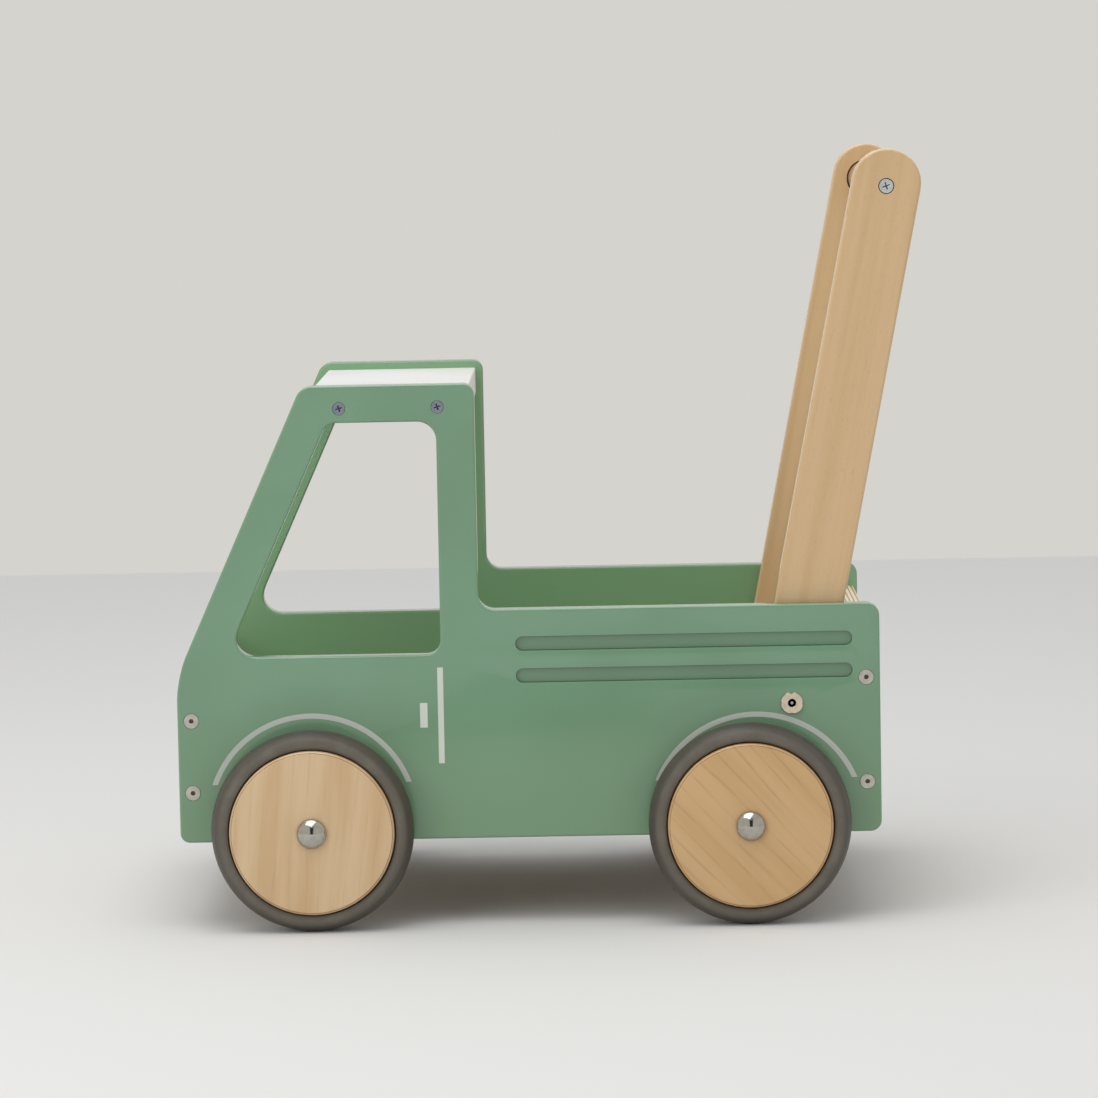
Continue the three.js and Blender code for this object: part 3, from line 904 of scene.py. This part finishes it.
tyre_rubber = rubber(sum(along("front_left_tyre", -1)))
for end in ("front", "rear"):
    for hand, side in HANDS.items():
        node = f"{end}_{hand}_tyre"
        at, tread = middle(node), head_radius(node)
        start, width = along(node, side)
        seat = head_radius(f"{end}_{hand}_wheel") + 0.1 * MM
        flank = [
            (seat, 4.5 * MM, 0),
            (seat + 0.8 * MM, 1.4 * MM, 0.8 * MM),
            (seat + 3.6 * MM, 0, 3.5 * MM),
            (seat + 7.2 * MM, 1.4 * MM, 5 * MM),
            (tread - SEAM_HEIGHT, 6.5 * MM, 11 * MM),
            (tread - SEAM_HEIGHT, (width - SEAM_WIDTH) / 2, 0),
            (tread, width / 2 - SEAM_WIDTH / 4, 0),
        ]
        far_flank = [(radius, width - across, rounding) for radius, across, rounding in flank]
        section = flank + far_flank[::-1]
        tyre_mesh = turned(section, (at.x, side * start, at.z), side)
        piece(f"tyre_{end}_{hand}", tyre_mesh, tyre_rubber, node, f"{end}_{hand}_wheel")


# ---- Axle caps
# Domed caps of polished steel, pressed on to the ends of the axles to keep the wheels on.
CAP_RIM = 1.8 * MM
CAP_BORE_DEPTH = 3.7 * MM
polished = metal("polished_steel", srgb(188, 184, 175), 0.08, 0.04)
for end in ("front", "rear"):
    for hand, side in HANDS.items():
        node = f"{end}_{hand}_axle_cap"
        at, rim = middle(node), head_radius(node)
        start, height = along(node, side)
        bore = head_radius(f"{end}_axle") + HOLE_GAP
        crown = height - CAP_RIM
        dome = (rim * rim + crown * crown) / (2 * crown)
        brow = dome * math.tan(math.asin(rim / dome) / 2)
        section = [
            (0, CAP_BORE_DEPTH, 0),
            (bore, CAP_BORE_DEPTH, 0),
            (bore, 0, 0),
            (rim, 0, 0.25 * MM),
            (rim, CAP_RIM, 0),
            (brow, height, dome),
            (0, height, 0),
        ]
        cap_mesh = turned(section, (at.x, side * start, at.z), side, 16)
        piece(f"cap_{end}_{hand}", cap_mesh, polished, node)


# ---- Handle boards and grip
# Two lacquered beech boards, bolted inside the sides and leaning back, round at the top and eased
# along every edge. The turned grip stands in a blind socket in each board, with a screw in its end.
GRIP_AT = middle("handle_grip")
BOLT_AT = middle("left_handle_bolt_upper")
HANDLE_LEAN = math.atan2(GRIP_AT.x - BOLT_AT.x, GRIP_AT.z - BOLT_AT.z)
HANDLE_WIDTH = 43 * MM
TOP_ABOVE_GRIP = 1.75 * MM  # the centre of the round tops lies this far above the grip
HANDLE_EASING = 1.8 * MM
FOOT_RADIUS = 6 * MM
GRIP_SOCKET = 12.5 * MM
GRIP_SOCKET_DEPTH = 4 * MM
GRIP_RADIUS = 11.5 * MM
BEECH = srgb(211, 178, 132)
BEECH_DEEP = srgb(203, 167, 120)
BEECH_FLECK = srgb(168, 128, 90)
# painted shade in the sockets of the handle boards
BORE_SHADE = srgb(52, 38, 28)
BOARD_INNER = along("left_handle_board", -1)[0]
BOARD_OUTER = sum(along("left_handle_board", -1))
GRIP_SCREW_GAP = 0.6 * MM


def beech(name, upright):
    """Beech whose grain runs up the leaning boards, or else along the grip."""
    wood = Finish(name, 0.4)
    wood.surface(Coat_Weight=1.0, Coat_Roughness=0.16)
    from_x, from_z = wood.x - GRIP_AT.x, wood.z - GRIP_AT.z
    sine, cosine = math.sin(HANDLE_LEAN), math.cos(HANDLE_LEAN)
    grain_way = from_x * sine + from_z * cosine if upright else wood.y
    across = from_x * cosine - from_z * sine + wood.y * 0.6 if upright else from_x + from_z
    fine = streaks(wood, across, grain_way, 1100, 9)
    broad = wood.noise(wood.node("CombineXYZ", inputs={"X": across * 90, "Y": grain_way * 3}), 1, 3)
    lines = growth_lines(wood, across, grain_way, 14 * MM, 0.6)
    dashes = {"X": across * 1500, "Y": grain_way * 260, "Z": wood.y * 300}
    flecks = wood.noise(wood.node("CombineXYZ", inputs=dashes), 1, 1).steps(0.66, 0.76)
    colour = wood.mix(broad.steps(0.35, 0.7), BEECH, BEECH_DEEP)
    colour = wood.mix(fine.steps(0.45, 0.8) * 0.4 + lines * 0.25, colour, BEECH_DEEP)
    if upright:
        # painted shade in the grip's socket and the screw's countersink
        from_grip = (from_x * from_x + from_z * from_z) ** 0.5
        sunk = (abs(wood.y) > BOARD_INNER + 0.2 * MM) * (abs(wood.y) < BOARD_OUTER - 0.2 * MM)
        colour = wood.mix((from_grip < GRIP_SOCKET + 0.1 * MM) * sunk, colour, BORE_SHADE)
    wood.surface(
        Base_Color=wood.mix(flecks * 0.28, colour, BEECH_FLECK),
        Roughness=0.38 + fine * 0.12,
        Normal=wood.bump(fine * 0.7 - flecks * 0.3, 0.05 * MM),
    )
    return wood


board_beech = beech("beech_boards", True)
for hand, side in HANDS.items():
    node = f"{hand}_handle_board"
    low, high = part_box(node)
    half = HANDLE_WIDTH / 2
    drop = GRIP_AT.z - low.z - FOOT_RADIUS - (half - FOOT_RADIUS) * math.sin(HANDLE_LEAN)
    foot = -(drop / math.cos(HANDLE_LEAN) + FOOT_RADIUS)
    top = TOP_ABOVE_GRIP + half
    corners = [
        (-half, foot, FOOT_RADIUS),
        (half, foot, FOOT_RADIUS),
        (half, top, half),
        (-half, top, half),
    ]
    thickness = high.y - low.y
    head = head_radius(f"{hand}_grip_screw")
    to_screw = (GRIP_SOCKET - head - GRIP_SCREW_GAP, 0)
    screw_hole = countersunk(head, thickness - GRIP_SOCKET_DEPTH - 0.3 * MM)
    pockets = [(disc(0, 0, GRIP_SOCKET), [to_screw, *screw_hole], drilled(GRIP_SOCKET_DEPTH))]
    for bolt in ("upper", "lower"):
        at = middle(f"{hand}_handle_bolt_{bolt}")
        below = -math.hypot(GRIP_AT.x - at.x, GRIP_AT.z - at.z)
        pockets.append((disc(0, below, 3.2 * MM), None, drilled(thickness - 0.3 * MM)))
    board_mesh, _, _ = plate(corners, thickness, HANDLE_EASING, pockets=pockets)
    tilt = Matrix.Rotation(-HANDLE_LEAN, 3, "Z")
    bmesh.ops.rotate(board_mesh, verts=board_mesh.verts, cent=(0, 0, 0), matrix=tilt)
    inner = min(abs(low.y), abs(high.y))
    stood(board_mesh, (GRIP_AT.x, side * inner, GRIP_AT.z), side)
    piece(f"handle_{hand}", board_mesh, board_beech, node)

grip_half = along("handle_grip", 1)[1] / 2
pilot = 2.4 * MM
grip_section = [
    (0, -grip_half + 30 * MM, 0),
    (pilot, -grip_half + 30 * MM, 0),
    (pilot, -grip_half, 0),
    (GRIP_RADIUS, -grip_half, 0.8 * MM),
    (GRIP_RADIUS, grip_half, 0.8 * MM),
    (pilot, grip_half, 0),
    (pilot, grip_half - 30 * MM, 0),
    (0, grip_half - 30 * MM, 0),
]
piece("grip", turned(grip_section, GRIP_AT), beech("beech_grip", False), "handle_grip")


# ---- Screws
# Countersunk steel screws that sit flush. The roof board and the grip have zinc-plated ones with a
# cross recess, and the end boards have nickel-plated ones with a small hexagon socket.
SCREW_TIP = 5 * MM
SOCKET_DEPTH = 2 * MM


def hexagon(radius):
    angles = [math.radians(60 * corner) for corner in range(6)]
    return [(radius * math.cos(angle), radius * math.sin(angle), 0.1 * MM) for angle in angles]


def cross(span, width):
    """The corners of a cross recess, turned a little as a driver leaves it."""
    long, short = span / 2, width / 2
    arm = [(short, short), (long, short), (long, -short)]
    turn = math.radians(18)
    corners = []
    for quarter in range(4):
        angle = turn - quarter * math.pi / 2
        for x, y in arm:
            corners.append((
                x * math.cos(angle) - y * math.sin(angle),
                x * math.sin(angle) + y * math.cos(angle),
                0.1 * MM,
            ))
    return corners[::-1]


def fastener(head, rim, easing, cone, shank, length, socket):
    """A round head with a driver's socket, and below it a cone, a shank and a tapered tip."""
    pocket = (socket, drilled(SOCKET_DEPTH), None)
    mesh, _, back = plate(disc(0, 0, head), rim, easing, pockets=[pocket])
    end = bmesh.ops.dissolve_faces(mesh, faces=back)["region"]
    inset(mesh, end, head - easing - MARGIN - shank, cone)
    inset(mesh, end, 0, length - rim - cone - SCREW_TIP)
    inset(mesh, end, shank * 0.7, SCREW_TIP)
    return mesh


# painted shade in the sockets of the screw heads, below the face each sits flush with
panel_nickel = metal("screw_nickel", srgb(214, 211, 201), 0.42, face_y=OUTER_FACE)
roof_zinc = metal("roof_screw_zinc", srgb(160, 169, 188), 0.3, face_y=OUTER_FACE)
grip_zinc = metal("grip_screw_zinc", srgb(240, 250, 252), 0.34, face_y=OUTER_FACE - SIDE_THICKNESS)
SCREW_FINISHES = {"roof": roof_zinc, "grip": grip_zinc}
for hand, side in HANDS.items():
    for screw, kind in {**SCREWS, "grip_screw": "cross"}.items():
        node = f"{hand}_{screw}"
        finish = SCREW_FINISHES.get(screw.split("_")[0], panel_nickel)
        at, head = middle(node), head_radius(node)
        start, length = along(node, side)
        socket = hexagon(1.7 * MM) if kind == "hex" else cross(1.15 * head, 1.05 * MM)
        screw_mesh = fastener(head, HEAD_RIM, 0.2 * MM, head / 2, head / 2, length, socket)
        outer = side * (start + length)
        stood(screw_mesh, (at.x, outer - side * HEAD_RIM, at.z), side)
        piece(f"{screw}_{hand}", screw_mesh, finish, node)


# ---- Handle bolts and nuts
# Two bolts a side run from inside the handle board out through the side, into nickel-plated nuts.
# Each nut is a threaded barrel with a notched flange, drawn against the painted face.
BOLT_HEAD_HEIGHT = 3 * MM
BOLT_SHANK = 3 * MM
NUT_FLANGE = 7 * MM
NUT_BORE = 3.15 * MM
FLANGE_BORE = 2.5 * MM
NUT_BARREL = 4 * MM
FLANGE_HEIGHT = 1.5 * MM
NOTCHES = [0.5 * MM, 1.1 * MM, 0.5 * MM, 0.5 * MM]
NOTCH_REACH = math.radians(19)
RIM_POINTS = 120


def notched(radius, depths):
    """The corners of a round flange with a smooth notch of each depth, a quarter turn apart."""
    corners = []
    for point in range(RIM_POINTS):
        angle = math.tau * point / RIM_POINTS
        quarter = round(angle / (math.pi / 2))
        away = min(1, abs(angle - quarter * math.pi / 2) / NOTCH_REACH)
        reach = radius - depths[quarter % len(depths)] * (1 + math.cos(math.pi * away)) / 2
        corners.append((reach * math.cos(angle), reach * math.sin(angle), 0))
    return corners


# painted shade in each nut's bore and along the foot of its flange
nickel = metal("nut_nickel", srgb(230, 216, 194), 0.22, face_y=OUTER_FACE + 1 * MM)
for hand, side in HANDS.items():
    for bolt in ("upper", "lower"):
        node = f"{hand}_handle_bolt_{bolt}"
        at = middle(node)
        start, length = along(node, side)
        bolt_mesh = fastener(
            head_radius(node), BOLT_HEAD_HEIGHT, 1.1 * MM, 0, BOLT_SHANK, length, hexagon(2.2 * MM)
        )
        stood(bolt_mesh, (at.x, side * (start + BOLT_HEAD_HEIGHT), at.z), -side)
        piece(f"bolt_{bolt}_{hand}", bolt_mesh, zinc, node)

        node = f"{hand}_tee_nut_{bolt}"
        start, length = along(node, side)
        face = side * (start + length - FLANGE_HEIGHT)
        flange = notched(NUT_FLANGE, NOTCHES)
        flange_mesh, _, _ = plate(flange, FLANGE_HEIGHT, 0.4 * MM, windows=[disc(0, 0, FLANGE_BORE)])
        stood(flange_mesh, (at.x, face, at.z), side)
        barrel = [
            (NUT_BORE, 0, 0),
            (NUT_BARREL, 0, 0.2 * MM),
            (NUT_BARREL, length - FLANGE_HEIGHT, 0),
            (NUT_BORE, length - FLANGE_HEIGHT, 0),
        ]
        barrel_mesh = turned(barrel, (at.x, side * start, at.z), side)
        barrel_data = bpy.data.meshes.new("nut_barrel")
        barrel_mesh.to_mesh(barrel_data)
        barrel_mesh.free()
        flange_mesh.from_mesh(barrel_data)
        bpy.data.meshes.remove(barrel_data)
        piece(f"nut_{bolt}_{hand}", flange_mesh, nickel, node)
